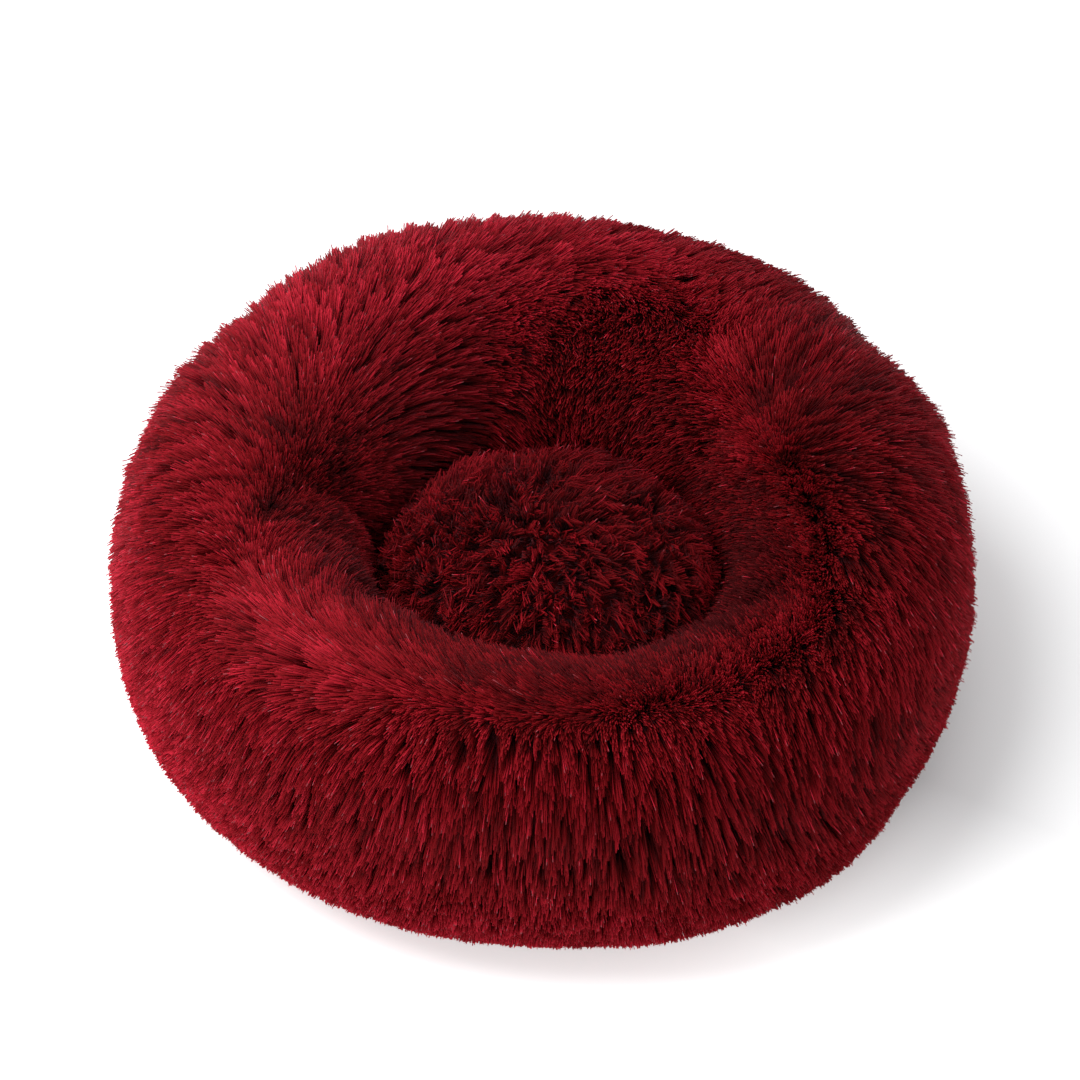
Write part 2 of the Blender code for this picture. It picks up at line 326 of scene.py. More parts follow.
def rim_combing(azimuth, section):
    """How the rim's pile is combed: shares along rising azimuth and outward, whose size is the lean."""
    azimuth_deg, section_deg = turned(np.degrees(azimuth)), np.degrees(section)
    # The pile turns over the parting within this many degrees, more slowly on the near side
    turn_deg = 16 + 7 * band(azimuth_deg, -130, 50, 30)
    outward = np.tanh((parting(azimuth_deg) - section_deg) / turn_deg)
    along = -on_patches(azimuth_deg, section_deg, COMBED_ALONG)
    weight = np.ones_like(azimuth)
    for middle, (start, end), slant, (low, high), strength in WHORLS:
        start = start - slant * (section_deg - 90)
        centre, half = (start + end) / 2, (end - start) / 2
        window = band(turned(azimuth_deg - centre), -half, half, WHORL_SOFTNESS[0])
        window = window * band(section_deg, low, high, WHORL_SOFTNESS[1])
        away_along, away_outward, distance = whorl(azimuth_deg, section_deg, middle)
        pull = strength * window * np.tanh(distance / WHORL_EYE)
        along = along + pull * away_along
        outward = outward + pull * away_outward
        weight = weight + strength * window
    along, outward = along / weight, outward / weight
    size = np.hypot(along, outward) + 1e-6
    # Hanging pile leans most, matted pile little, and the lowest pile stands out sideways
    hanging = band(section_deg, 18, 86, 30)
    lean = (0.86 + 0.09 * hanging) * np.tanh(size / 0.50)
    lean = lean * (1 - 0.72 * matted_share(azimuth_deg, section_deg))
    lowest = np.clip((40 - section_deg) / 50, 0, 1)
    lean = lean + (0.12 - lean) * lowest
    return along / size * lean, outward / size * lean


def cushion_combing(azimuth, section):
    """The cushion's pile lies to the front, and to the right at its back."""
    radius = np.cos(section)
    back = np.clip(np.sin(azimuth) * radius + 0.2, 0, 1)
    x = 0.55 * back + 0.22 * np.sin(9 * radius * np.cos(azimuth))
    y = -0.50 * (1 - back) + 0.12 * back
    along = y * np.cos(azimuth) - x * np.sin(azimuth)
    outward = x * np.cos(azimuth) + y * np.sin(azimuth)
    return along, outward


def rim_brushing(azimuth, section):
    """The qualities of the rim's pile, in the order of GROWTH after its cover.

    How far it is brushed out, with painted light and shade in it: lighter on the back left and the lowest pile,
    where light falls, and at the parting, and darker near the crest's near side and in the nest, where shade
    falls; whether it stands in tufts and in locks; how loose, uneven and fine its locks are, and how flat they
    lie; how many strands are blunt; and how much painted light lifts the painted shade at its roots.
    """
    azimuth_deg, section_deg = turned(np.degrees(azimuth)), np.degrees(section)
    outside = 1 - np.clip((section_deg - 90) / 50, 0, 1)
    back_left_painted_light = 0.5 - 0.5 * np.cos(np.radians(azimuth_deg + 30))
    lowest = np.clip((20 - section_deg) / 50, 0, 1)
    matted = matted_share(azimuth_deg, section_deg)
    near_crest_painted_shade = band(azimuth_deg, -160, 24, 60) * band(section_deg, 76, 190, 30)
    at_parting = np.exp(-(((section_deg - parting(azimuth_deg)) / 14) ** 2)) * band(azimuth_deg, -150, 56, 30)
    in_front = band(azimuth_deg, -125, -66, 30)
    # Painted light and shade: lighter on the back left, at the parting and on the lowest pile, darker near the
    # crest's near side and in the nest
    brushed = 0.96 * outside * back_left_painted_light**1.5 - 0.22 * near_crest_painted_shade + 0.32 * at_parting * (1 - 0.8 * in_front)
    brushed = brushed + 0.50 * lowest * (1 - 0.7 * band(azimuth_deg, -60, 10, 30))
    brushed = brushed - 0.08 * band(section_deg, 110, 260, 30)
    brushed = with_stretches(brushed, azimuth_deg, section_deg, PAINTED_LIGHT_AND_SHADE, PAINTED_LIGHT_SOFTNESS)
    tufted = 0.45 + 0.55 * band(turned(azimuth_deg - 135), -45, 40, 30) * band(section_deg, 10, 92, 40)
    tufted = tufted * (1 - 0.9 * matted) * (1 - 0.8 * lowest)
    fluffed_with_painted_light = np.clip(brushed, 0, 1)
    locked = 1 - 0.20 * matted - 0.45 * fluffed_with_painted_light - 0.25 * lowest - 0.3 * at_parting
    loose = 1 + 2.8 * matted + 2.2 * fluffed_with_painted_light * (1 - 0.8 * lowest) + 0.2 * lowest
    uneven = 1 - 0.85 * lowest - 0.55 * fluffed_with_painted_light * (1 - lowest) - 0.5 * at_parting
    fine = 1 + 0.55 * matted + 0.35 * fluffed_with_painted_light + 0.7 * lowest
    flat = (1 - matted) * (1 - 0.9 * lowest)
    blunt = 1 + 0.5 * matted + 0.5 * fluffed_with_painted_light + 0.8 * lowest
    # Painted light on the roots at the parting, which lifts the painted shade there
    lit = 0.9 * at_parting
    return brushed, tufted, locked, loose, uneven, fine, flat, blunt, lit


def cushion_brushing(azimuth, section):
    """The same qualities on the cushion, with painted light making its left and back edge lighter."""
    edge = np.clip((60 - np.degrees(section)) / 30, 0, 1)
    left_and_back_painted_light = 0.5 - 0.5 * np.cos(azimuth + np.radians(75))
    even = np.ones_like(azimuth)
    return 0.30 * edge * left_and_back_painted_light**2 + 0.02, 0.5 * even, *[even] * 6, 0.0 * even


def cell_areas(places):
    """The area of each cell of a grid, given at the grid's points."""
    diagonal = places[1:, 1:] - places[:-1, :-1]
    other = places[1:, :-1] - places[:-1, 1:]
    area = np.linalg.norm(np.cross(diagonal, other), axis=-1) / 2
    return np.pad(area, ((0, 1), (0, 1)), mode="edge")


def rim_tips(azimuth, section, comb_along, comb_outward):
    """Where the rim's pile ends: moved along the rim as it is combed, at the height of the tips."""
    along, outward = slopes(rim_surface, azimuth, section, 0)
    azimuth = azimuth + PILE_LENGTH * comb_along / np.linalg.norm(along, axis=-1)
    section = section - PILE_LENGTH * comb_outward / np.linalg.norm(outward, axis=-1)
    azimuth_deg, section_deg = turned(np.degrees(azimuth)), np.degrees(section)
    proud = with_stretches(PILE_PROUD, azimuth_deg, section_deg, SWELLS, SWELL_SOFTNESS)
    return rim_surface(azimuth, np.clip(section, *np.radians(SEWN_EDGES_DEG)), -proud)


def cushion_tips(azimuth, section, comb_along, comb_outward):
    """Where the cushion's pile ends, moved over the nearly flat crown as it is combed."""
    along, outward = slopes(cushion_surface, azimuth, section, 0)
    along, outward = unit(along), unit(outward)
    place = cushion_surface(azimuth, section, -PILE_PROUD)
    return place + 0.8 * PILE_LENGTH * (along * comb_along[..., None] + outward * comb_outward[..., None])


GROWTH = ("cover", "brushed", "tufted", "locked", "loose", "uneven", "fine", "flat", "blunt", "lit")


def grid_mesh(name, kind, azimuths, sections):
    """A patch of the backing, with the attributes that its pile grows by."""
    surface, combing, tips_of, brushing = kind
    azimuth, section = np.meshgrid(azimuths, sections, indexing="ij")
    comb_along, comb_outward = combing(azimuth, section)
    inset = root_depth(np.hypot(comb_along, comb_outward))
    places = surface(azimuth, section, inset)
    along, outward = slopes(surface, azimuth, section, inset)
    normal = unit(np.cross(outward, along))
    cut = np.clip(places[..., 2] / CUT_BELOW, LEAST_CUT, 1)
    way = (tips_of(azimuth, section, comb_along, comb_outward) - places) * cut[..., None]
    # Where the pile parts, more of it grows, so that its tips stay even
    parted = cell_areas(places + way) / cell_areas(places) / TIPS_SHARE
    parted = np.clip(parted, LEAST_COVER, MOST_AT_PARTING)
    fewer_below = np.clip(LEAST_COVER + places[..., 2] / THIN_BELOW, LEAST_COVER, 1)
    columns, rows = azimuth.shape
    index = np.arange(columns * rows).reshape(columns, rows)
    corners = np.stack([index[:-1, :-1], index[:-1, 1:], index[1:, 1:], index[1:, :-1]], axis=-1)
    mesh = bpy.data.meshes.new(name)
    mesh.from_pydata(places.reshape(-1, 3), [], corners.reshape(-1, 4).tolist())
    for label, values in (("way", way), ("normal_out", normal)):
        attribute = mesh.attributes.new(label, "FLOAT_VECTOR", "POINT")
        attribute.data.foreach_set("vector", values.ravel().astype(np.float32))
    for label, values in zip(GROWTH, (parted * fewer_below, *brushing(azimuth, section))):
        attribute = mesh.attributes.new(label, "FLOAT", "POINT")
        attribute.data.foreach_set("value", values.ravel().astype(np.float32))
    return mesh


def add(tree, kind, inputs=None, **settings):
    """One node; an input takes a value or another node's socket."""
    made = tree.nodes.new(kind)
    for name, value in settings.items():
        setattr(made, name, value)
    for key, value in (inputs or {}).items():
        if isinstance(value, bpy.types.NodeSocket):
            tree.links.new(value, made.inputs[key])
        else:
            made.inputs[key].default_value = value
    return made


def number(tree, operation, *values):
    return add(tree, "ShaderNodeMath", dict(enumerate(values)), operation=operation).outputs[0]


def times(tree, first, second):
    return number(tree, "MULTIPLY", first, second)


def inverse(tree, value):
    return number(tree, "DIVIDE", 1.0, value)


def rest_of(tree, share):
    """What a share leaves of one."""
    return number(tree, "SUBTRACT", 1.0, share)


def vector(tree, operation, *values):
    made = add(tree, "ShaderNodeVectorMath", dict(enumerate(values)), operation=operation)
    return made.outputs["Value" if operation in ("DOT_PRODUCT", "LENGTH") else "Vector"]


def scaled(tree, direction, factor):
    made = add(tree, "ShaderNodeVectorMath", {0: direction, "Scale": factor}, operation="SCALE")
    return made.outputs["Vector"]


def plus(tree, first, second):
    return vector(tree, "ADD", first, second)


def minus(tree, first, second):
    return vector(tree, "SUBTRACT", first, second)


def axes_of(tree, place):
    return add(tree, "ShaderNodeSeparateXYZ", {0: place}).outputs


def named(tree, name, kind="FLOAT"):
    return add(tree, "GeometryNodeInputNamedAttribute", {"Name": name}, data_type=kind).outputs["Attribute"]


def level(tree, direction, normal):
    """The part of a direction that lies in the surface with this normal."""
    return minus(tree, direction, scaled(tree, normal, vector(
        tree, "DOT_PRODUCT", direction, normal)))


def about_nought(tree, colour):
    """A random colour as a direction."""
    return minus(tree, colour, (0.5, 0.5, 0.5))


def cells(tree, place, scale):
    inputs = {"Vector": place, "Scale": scale, "Randomness": 1.0}
    return add(tree, "ShaderNodeTexVoronoi", inputs, feature="F1", voronoi_dimensions="3D").outputs


def stored(tree, geometry, name, value, kind, domain):
    inputs = {"Geometry": geometry, "Name": name, "Value": value}
    return add(tree, "GeometryNodeStoreNamedAttribute", inputs, data_type=kind, domain=domain).outputs[0]


def finished(tree, geometry, material):
    """Smooth shading and a material, which end a tree."""
    smooth = add(tree, "GeometryNodeSetShadeSmooth", {"Geometry": geometry}).outputs[0]
    return add(tree, "GeometryNodeSetMaterial", {"Geometry": smooth, "Material": material}).outputs[0]


def weighted_sum(tree, parts):
    total = 0.0
    for value, share in parts:
        total = number(tree, "MULTIPLY_ADD", value, share, total)
    return total


def kept(tree, geometry, kind, value):
    """A value that the points or vertices keep while they are made into something else."""
    made = tree.nodes.new("GeometryNodeCaptureAttribute")
    made.capture_items.new(kind, "kept")
    tree.links.new(geometry, made.inputs["Geometry"])
    tree.links.new(value, made.inputs["kept"])
    return made.outputs["Geometry"], made.outputs["kept"]


def geometry_tree(name, inputs, result):
    """An empty tree, with its inputs' sockets and its output's; inputs gives the kind of each name."""
    tree = bpy.data.node_groups.new(name, "GeometryNodeTree")
    for label, kind in inputs.items():
        tree.interface.new_socket(label, in_out="INPUT", socket_type="NodeSocket" + kind)
    tree.interface.new_socket(result, in_out="OUTPUT", socket_type="NodeSocketGeometry")
    return tree, tree.nodes.new("NodeGroupInput").outputs, tree.nodes.new("NodeGroupOutput").inputs[0]


def plush_pile_tree():
    """Strands of pile that grow on a backing: combed, drawn together into locks, and frizzed."""
    sizes = ("Density", "Guard Share", "Painted Glint Share", "Strand Radius", "Lock Size", "Lock Pull", "Lock Spread",
             "Lock Stretch", "Lock Groove", "Lock Tone", "Tuft Size", "Tuft Pull", "Tuft Groove", "Drift",
             "Scatter", "Frizz", "Curl", "Length Spread", "Blunt Share")
    inputs = {"Backing": "Geometry", **dict.fromkeys(sizes, "Float"), "Segments": "Int", "Seed": "Int",
              "Finish": "Material"}
    tree, given, out = geometry_tree("plush_pile", inputs, "Pile")

    density = times(tree, given["Density"], named(tree, "cover"))
    inputs = {"Mesh": given["Backing"], "Density": density, "Seed": given["Seed"]}
    points = add(tree, "GeometryNodeDistributePointsOnFaces", inputs).outputs["Points"]
    place = tree.nodes.new("GeometryNodeInputPosition").outputs[0]
    points, root = kept(tree, points, "VECTOR", place)
    points, normal = kept(tree, points, "VECTOR", named(tree, "normal_out", "FLOAT_VECTOR"))

    chance = add(
        tree, "FunctionNodeRandomValue", {"Seed": given["Seed"]}, data_type="FLOAT_VECTOR"
    ).outputs["Value"]
    points, chance = kept(tree, points, "VECTOR", chance)
    chances = axes_of(tree, chance)
    guard = number(tree, "LESS_THAN", chances[2], given["Guard Share"])
    points, guard = kept(tree, points, "FLOAT", guard)
    points, brushed = kept(tree, points, "FLOAT", named(tree, "brushed"))

    # Locks are cells that are long the way the pile is combed: patch by patch, that way is pressed together
    combed = named(tree, "way", "FLOAT_VECTOR")
    lie = vector(tree, "NORMALIZE", level(tree, combed, normal))
    patch = cells(tree, place, 1 / PATCH_SIZE)["Position"]
    in_patch = minus(tree, place, patch)
    fine = named(tree, "fine")
    stretch = rest_of(tree, inverse(tree, given["Lock Stretch"]))
    pressed = times(tree, named(tree, "flat"), stretch)
    in_patch = minus(tree, in_patch, scaled(tree, lie, times(
        tree, pressed, vector(tree, "DOT_PRODUCT", in_patch, lie))))
    lock_space = plus(tree, scaled(tree, in_patch, fine), scaled(tree, patch, PATCHES_APART))
    locks = cells(tree, lock_space, inverse(tree, given["Lock Size"]))
    to_lock = scaled(tree, minus(tree, locks["Position"], lock_space), inverse(tree, fine))
    points, to_lock = kept(tree, points, "VECTOR", to_lock)
    onward = times(tree, vector(tree, "DOT_PRODUCT", to_lock, lie), number(
        tree, "DIVIDE", pressed, rest_of(tree, pressed)))
    lock_place = plus(tree, plus(tree, place, to_lock), scaled(tree, lie, onward))
    points, lock_place = kept(tree, points, "VECTOR", lock_place)
    lock_colour = add(tree, "FunctionNodeSeparateColor", {0: locks["Color"]}).outputs
    points, lock_chance = kept(tree, points, "FLOAT", lock_colour[0])
    points, lock_other = kept(tree, points, "FLOAT", lock_colour[1])

    tufts = cells(tree, lock_place, inverse(tree, given["Tuft Size"]))
    points, tuft_place = kept(tree, points, "VECTOR", tufts["Position"])
    tuft_colour = add(tree, "FunctionNodeSeparateColor", {0: tufts["Color"]}).outputs
    points, tuft_chance = kept(tree, points, "FLOAT", tuft_colour[0])

    # The combing drifts slowly, and each lock has a turn of its own
    drift = add(
        tree,
        "ShaderNodeTexNoise",
        {"Vector": lock_place, "Scale": DRIFT_SCALE, "Detail": 1.0, "Roughness": 0.5},
        noise_dimensions="3D",
    ).outputs["Color"]
    drift = about_nought(tree, drift)
    own_turn = about_nought(tree, locks["Color"])
    looseness = named(tree, "loose")
    drift = plus(tree, scaled(tree, drift, given["Drift"]), scaled(tree, own_turn, times(
        tree, given["Scatter"], looseness)))
    drift = level(tree, drift, normal)
    way = plus(tree, combed, scaled(tree, drift, vector(tree, "LENGTH", combed)))

    # Guard hairs keep their whole length, other strands and whole locks are shorter by chance
    shorter = times(tree, rest_of(tree, guard), number(
        tree, "ADD", LEAST_SHORTER, times(tree, chances[0], given["Length Spread"])))
    shorter = number(tree, "ADD", shorter, times(
        tree, times(tree, lock_chance, lock_chance), given["Lock Spread"]))
    unevenness = named(tree, "uneven")
    path = scaled(tree, way, rest_of(tree, times(tree, shorter, unevenness)))

    # Strands draw together sideways, so that a lock runs along the way it is combed
    flow = level(tree, way, normal)
    flow = scaled(tree, flow, number(tree, "DIVIDE", FLOW_SHARE, number(
        tree, "MAXIMUM", LEAST_FLOW, vector(tree, "LENGTH", flow))))
    tufted = named(tree, "tufted")
    tuft_pull = times(tree, given["Tuft Pull"], tufted)
    lock_pull = times(tree, given["Lock Pull"], named(tree, "locked"))
    lock_size = number(tree, "DIVIDE", given["Lock Size"], fine)
    to_tuft = minus(tree, tuft_place, root)
    #     Tufts and locks are rounded: their outer strands end lower, and are painted darker as shade between
    #         them
    painted_groove_shades = []
    for gather, share_of_way, size, groove, depth in (
        (to_tuft, tuft_pull, given["Tuft Size"], given["Tuft Groove"], tufted),
        (to_lock, lock_pull, lock_size, given["Lock Groove"], unevenness),
    ):
        gather = level(tree, gather, normal)
        gather = minus(tree, gather, scaled(
            tree, flow, vector(tree, "DOT_PRODUCT", gather, flow)))
        path = plus(tree, path, scaled(tree, gather, share_of_way))
        aside = number(tree, "DIVIDE", vector(tree, "LENGTH", gather), times(tree, size, HALF_WIDTH))
        aside = number(tree, "MINIMUM", times(tree, aside, aside), 1.0)
        aside = times(tree, aside, depth)
        path = minus(tree, path, scaled(tree, normal, times(tree, groove, aside)))
        points, aside = kept(tree, points, "FLOAT", aside)
        painted_groove_shades.append(aside)
    stray = about_nought(tree, chance)
    path = plus(tree, path, scaled(tree, stray, times(tree, given["Frizz"], looseness)))
    points, path = kept(tree, points, "VECTOR", path)
    bow = plus(tree, scaled(tree, stray, 0.25), own_turn)
    points, bow = kept(tree, points, "VECTOR", scaled(tree, bow, given["Curl"]))
    radius = times(tree, given["Strand Radius"], rest_of(tree, times(tree, guard, GUARD_THINNER)))
    points, radius = kept(tree, points, "FLOAT", radius)

    # Some strands are pointed, and some widen to a blunt, cropped end
    blunt = number(tree, "LESS_THAN", chances[1], times(
        tree, given["Blunt Share"], named(tree, "blunt")))
    both = tree.nodes.new("GeometryNodeJoinGeometry")
    for chosen, root_width, tip_width in ((blunt, 0.0, 1.0), (rest_of(tree, blunt), 1.0, 0.0)):
        strand = add(
            tree,
            "GeometryNodeMeshCone",
            {
                "Vertices": 3,
                "Side Segments": given["Segments"],
                "Radius Top": tip_width,
                "Radius Bottom": root_width,
                "Depth": 1.0,
            },
            fill_type="NGON",
        ).outputs["Mesh"]
        strand = stored(tree, strand, "on_strand", place, "FLOAT_VECTOR", "POINT")
        strands = add(
            tree, "GeometryNodeInstanceOnPoints", {"Points": points, "Selection": chosen, "Instance": strand}
        ).outputs[0]
        tree.links.new(strands, both.inputs[0])
    pile = add(tree, "GeometryNodeRealizeInstances", {0: both.outputs[0]}).outputs[0]

    along = axes_of(tree, named(tree, "on_strand", "FLOAT_VECTOR"))
    share = along[2]
    first = vector(tree, "NORMALIZE", vector(tree, "CROSS_PRODUCT", path, (0.31, 0.52, -0.79)))
    second = vector(tree, "NORMALIZE", vector(tree, "CROSS_PRODUCT", path, first))
    ring = plus(tree, scaled(tree, first, along[0]), scaled(tree, second, along[1]))
    bent = times(tree, share, rest_of(tree, share))
    way_now = plus(tree, scaled(tree, path, share), scaled(tree, bow, bent))
    place_now = plus(tree, root, plus(tree, way_now, scaled(tree, ring, radius)))
    place_now = vector(tree, "MAXIMUM", place_now, (-1.0, -1.0, LOWEST_PILE))
    pile = add(tree, "GeometryNodeSetPosition", {"Geometry": pile, "Position": place_now}).outputs[0]

    # Palette place: the tone across, from root to tip upwards; painted glints on single hairs are at its far
    # end.
    # The tone holds painted shade in the grooves of tufts and locks, and the brushing's painted light and shade
    contrast = times(tree, given["Lock Tone"], number(
        tree, "MULTIPLY_ADD", named(tree, "loose"), 0.22, 0.78))
    fluffed_with_painted_light = number(tree, "MAXIMUM", brushed, 0.0)
    tone = weighted_sum(tree, (
        (1.0, 0.25),
        (number(tree, "SUBTRACT", lock_other, 0.5), contrast),
        (painted_groove_shades[0], -0.36),
        (painted_groove_shades[1], -0.22),
        (number(tree, "SUBTRACT", chances[0], 0.5), number(tree, "MULTIPLY_ADD", fluffed_with_painted_light, 0.25, 0.10)),
        (tuft_chance, 0.16),
        (brushed, 0.50),
        (guard, 0.14),
    ))
    # Painted glints: a few hairs, more of them where the pile is brushed and painted lighter
    painted_glint = number(tree, "LESS_THAN", chances[2], times(
        tree, given["Painted Glint Share"], number(tree, "MULTIPLY_ADD", fluffed_with_painted_light, 7.0, 1.0)))
    tone = number(tree, "MINIMUM", number(tree, "MAXIMUM", tone, 0.01), LIGHTEST_TONE)
    tone = number(tree, "MINIMUM", number(tree, "ADD", tone, painted_glint), GLINT_TONE)
    # A strand's sides lie a little apart in the palette, so that none of its faces is empty there
    tone = weighted_sum(tree, ((tone, 1.0), (along[0], 0.005), (along[1], 0.002)))
    # Painted shade darkens each strand towards its root, less where painted light lifts the roots at a parting
    painted_root_shade = times(tree, rest_of(tree, share), rest_of(tree, named(tree, "lit")))
    lengthwise = number(tree, "ADD", times(tree, rest_of(tree, painted_root_shade), 0.96), number(
        tree, "ADD", 0.02, times(tree, along[1], 0.008)))
    palette_place = add(tree, "ShaderNodeCombineXYZ", {0: tone, 1: lengthwise}).outputs[0]
    pile = stored(tree, pile, "OFBake", palette_place, "FLOAT2", "CORNER")
    tree.links.new(finished(tree, pile, given["Finish"]), out)
    return tree


def linked(name, data):
    """A new object in the scene."""
    made = bpy.data.objects.new(name, data)
    bpy.context.scene.collection.objects.link(made)
    return made


def grown(name, mesh, tree, values):
    """The plain mesh object that a node tree makes of a mesh; values are by input name."""
    carrier = linked(name + "_carrier", mesh)
    modifier = carrier.modifiers.new(tree.name, "NODES")
    modifier.node_group = tree
    for item in tree.interface.items_tree:
        if item.in_out == "INPUT" and item.name in values:
            modifier[item.identifier] = values[item.name]
    graph = bpy.context.evaluated_depsgraph_get()
    made = bpy.data.meshes.new_from_object(carrier.evaluated_get(graph))
    bpy.data.objects.remove(carrier, do_unlink=True)
    bpy.data.meshes.remove(mesh)
    for attribute in list(made.attributes):
        if attribute.name in ("way", "normal_out", "on_strand", *GROWTH):
            made.attributes.remove(attribute)
    made.name = name
    return linked(name, made)


def cloth_finish(name, roughness, sheen=0.0, sheen_tint=(1, 1, 1), specular=0.5):
    material = bpy.data.materials.new(name)
    material.use_nodes = True
    tree = material.node_tree
    shader = tree.nodes["Principled BSDF"]
    shader.inputs["Roughness"].default_value = roughness
    shader.inputs["Sheen Weight"].default_value = sheen
    shader.inputs["Sheen Roughness"].default_value = 0.4
    shader.inputs["Sheen Tint"].default_value = (*sheen_tint, 1)
    shader.inputs["Specular IOR Level"].default_value = specular
    return material, tree, shader


def ramp(tree, factor, stops):
    """A colour ramp with stops of a place and a colour."""
    made = add(tree, "ShaderNodeValToRGB", {"Fac": factor})
    elements = made.color_ramp.elements
    while len(elements) < len(stops):
        elements.new(0.5)
    for element, (place, colour) in zip(elements, stops):
        element.position = place
        element.color = (*colour, 1)
    return made.outputs["Color"]


def object_place(tree):
    return tree.nodes.new("ShaderNodeTexCoord").outputs["Object"]


def add_bump(tree, shader, height, strength, distance):
    bump = add(tree, "ShaderNodeBump", {"Strength": strength, "Distance": distance, "Height": height})
    tree.links.new(bump.outputs[0], shader.inputs["Normal"])


def dye(tree, shader, factor, stops):
    """The cloth's colour, from a ramp."""
    tree.links.new(ramp(tree, factor, stops), shader.inputs["Base Color"])


def noise_at(tree, place, scale, detail, distortion=0.0):
    inputs = {"Vector": place, "Scale": scale, "Detail": detail, "Distortion": distortion}
    return add(tree, "ShaderNodeTexNoise", inputs).outputs[0]


def pile_finish():
    """Wine-red fibre, with a tone of its own for each strand.

    Painted shade darkens each strand towards its root, and the tone's lighter, pinker end holds painted light
    and painted sheen.
    """
    material, tree, shader = cloth_finish("wine red pile", 0.6, 0.04, (1.0, 0.4, 0.5), 0.06)
    palette = add(tree, "ShaderNodeUVMap", uv_map="OFBake").outputs["UV"]
    place = axes_of(tree, palette)
    # Painted shade: each strand darkens towards its root, where shade falls deep in the pile
    length_colour = ramp(
        tree,
        place[1],
        (
            (0.0, (0.018, 0.0003, 0.0006)),
            (0.35, (0.066, 0.0009, 0.0019)),
            (0.70, (0.118, 0.0015, 0.0033)),
            (1.0, (0.145, 0.0022, 0.0046)),
        ),
    )
    # Tones: the lighter, pinker end is reached by painted light and painted glints
    tone = ramp(
        tree,
        place[0],
        (
            (0.0, (0.30, 0.22, 0.25)),
            (0.30, (1.22, 0.94, 0.98)),
            (0.60, (2.1, 2.9, 3.1)),
            (0.93, (4.3, 9.6, 10.0)),
        ),
    )
    mixed = add(
        tree,
        "ShaderNodeMix",
        {"Factor": 1.0, 6: length_colour, 7: tone},
        data_type="RGBA",
        blend_type="MULTIPLY",
    ).outputs[2]
    # Painted glints: single hairs, past the plain strands' end of the palette, are bright at their tips only
    painted_glint_tip = times(tree, number(tree, "GREATER_THAN", place[0], 0.96), number(
        tree, "GREATER_THAN", place[1], 0.93))
    mixed = add(
        tree, "ShaderNodeMix", {"Factor": painted_glint_tip, 6: mixed, 7: (0.30, 0.052, 0.064, 1)}, data_type="RGBA"
    ).outputs[2]
    tree.links.new(mixed, shader.inputs["Base Color"])
    return material


def backing_finish():
    """The knitted ground of the plush, dyed like its pile."""
    material, tree, shader = cloth_finish("plush ground", 0.9, 0.0, (1.0, 0.6, 0.6), 0.05)
    knit = add(tree, "ShaderNodeTexVoronoi", {"Vector": object_place(tree), "Scale": 700.0}).outputs["Distance"]
    dye(tree, shader, knit, ((0.0, (0.060, 0.0010, 0.0020)), (1.0, (0.020, 0.0004, 0.0008))))
    add_bump(tree, shader, knit, 0.4, 0.0006)
    return material


def closed_shell(name, kind, section_range, steps):
    """A thin shell under the pile, round the whole bed; the cushion's is closed at its axis."""
    surface, combing = kind[:2]
    azimuths = np.linspace(0, 2 * np.pi, steps, endpoint=False)
    azimuth, section = np.meshgrid(azimuths, np.radians(np.linspace(*section_range, 41)), indexing="ij")
    inset = root_depth(np.hypot(*combing(azimuth, section)))
    sheets = [surface(azimuth, section, inset), surface(azimuth, section, inset + BACKING)]
    rows = section.shape[1]
    verts = np.concatenate([sheet.reshape(-1, 3) for sheet in sheets])
    index = np.arange(len(verts)).reshape(2, steps, rows)
    faces = []
    for step in range(steps):
        after = (step + 1) % steps
        near, far = index[:, step], index[:, after]
        for row in range(rows - 1):
            faces.append((near[0, row], far[0, row], far[0, row + 1], near[0, row + 1]))
            faces.append((near[1, row], near[1, row + 1], far[1, row + 1], far[1, row]))
        faces.append((near[0, 0], near[1, 0], far[1, 0], far[0, 0]))
        if kind is RIM:
            faces.append((near[0, -1], far[0, -1], far[1, -1], near[1, -1]))
    verts = verts.tolist()
    if kind is CUSHION:
        for sheet, flip in ((0, False), (1, True)):
            middle = np.array([verts[i] for i in index[sheet, :, -1]]).mean(axis=0)
            verts.append(middle.tolist())
            for step in range(steps):
                pair = [index[sheet, step, -1], index[sheet, (step + 1) % steps, -1]]
                faces.append((*(pair[::-1] if flip else pair), len(verts) - 1))
    mesh = bpy.data.meshes.new(name)
    mesh.from_pydata(verts, [], [tuple(int(i) for i in face) for face in faces])
    mesh.shade_smooth()
    mesh.materials.append(ground_material)
    return linked(name, mesh)


DENSITY_SHARE = 1.0
BACKING_STEP = 0.02
BACKING_ROWS = 90
RIM_PILE = {
    "Density": 760000,
    "Guard Share": 0.12,
    "Painted Glint Share": 0.006,
    "Strand Radius": 0.00045,
    "Lock Size": 0.0044,
    "Lock Pull": 0.50,
    "Lock Spread": 0.20,
    "Lock Stretch": 3.5,
    "Lock Groove": 0.0060,
    "Lock Tone": 0.26,
    "Tuft Size": 0.017,
    "Tuft Pull": 0.55,
    "Tuft Groove": 0.0055,
    "Drift": 0.65,
    "Scatter": 0.12,
    "Frizz": 0.0020,
    "Curl": 0.0,
    "Length Spread": 0.22,
    "Blunt Share": 0.4,
    "Segments": 1,
}
CUSHION_PILE = {
    **RIM_PILE,
    "Density": 330000,
    "Guard Share": 0.03,
    "Strand Radius": 0.00052,
    "Lock Size": 0.0040,
    "Lock Pull": 0.80,
    "Lock Stretch": 2.2,
    "Lock Tone": 0.34,
    "Drift": 1.2,
    "Scatter": 0.42,
    "Frizz": 0.0012,
    "Curl": 0.06,
    "Blunt Share": 0.6,
    "Segments": 3,
}

